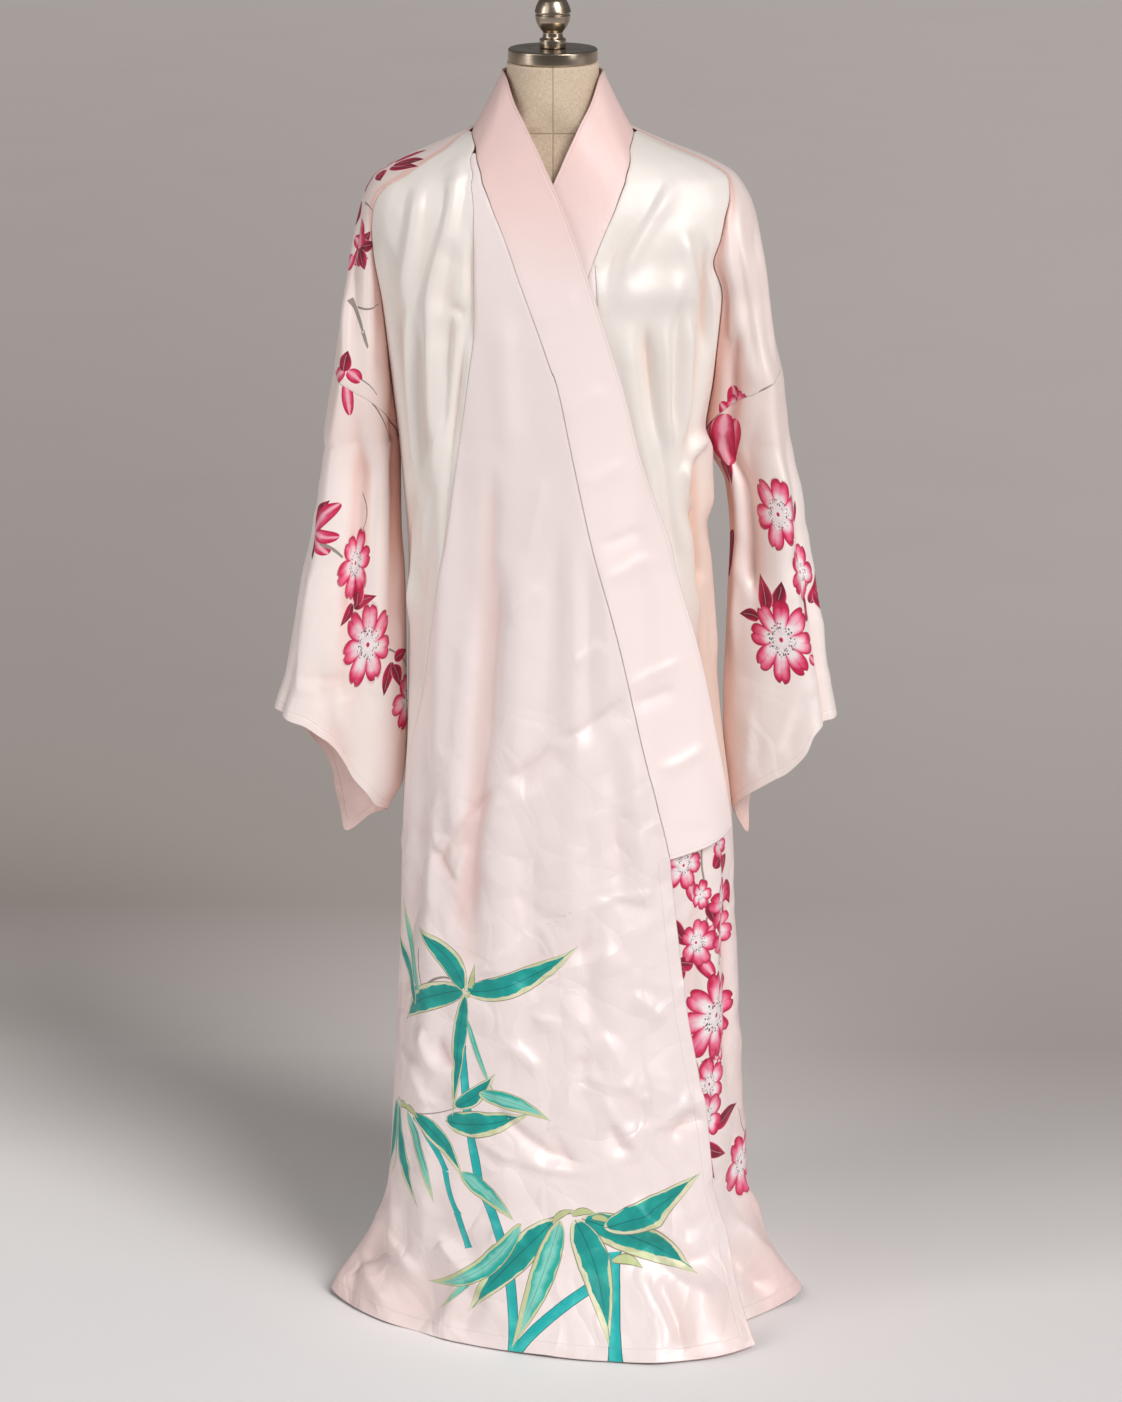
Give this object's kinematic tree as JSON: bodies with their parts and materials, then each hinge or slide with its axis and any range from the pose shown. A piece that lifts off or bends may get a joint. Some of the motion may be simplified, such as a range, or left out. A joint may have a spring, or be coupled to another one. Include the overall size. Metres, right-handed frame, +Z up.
{
  "type": "silk kimono on a dress form",
  "caption": "Long pale silk kimono robe with a bamboo and blossom print, wrapped right over left on a limbless dress form that stands on a round base.",
  "frame": {"origin": "on the floor under the middle of the pole, at the underside of the base plate", "axes": "+Z up, -Y towards the front where the robe wraps over, +X towards the wearer's left"},
  "size_m": [0.6771, 0.5143, 1.5953],
  "materials": {
    "silk_ivory": "satin",
    "silk_pink": "satin",
    "silk_peach": "satin",
    "silk_band": "satin",
    "linen": "matte",
    "nickel": "brushed",
    "stand_steel": "satin"
  },
  "bodies": {
    "root": {"back_panel": "silk_peach", "side_front_right": "silk_ivory", "side_front_left": "silk_ivory", "overlap_right": "silk_pink", "overlap_left": "silk_pink", "collar_band": "silk_band", "sleeve_right": "silk_peach", "sleeve_left": "silk_peach", "torso_form": "linen", "neck_cap": "nickel", "finial": "nickel", "pole": "stand_steel", "base_plate": "stand_steel"}
  },
  "joints": []
}
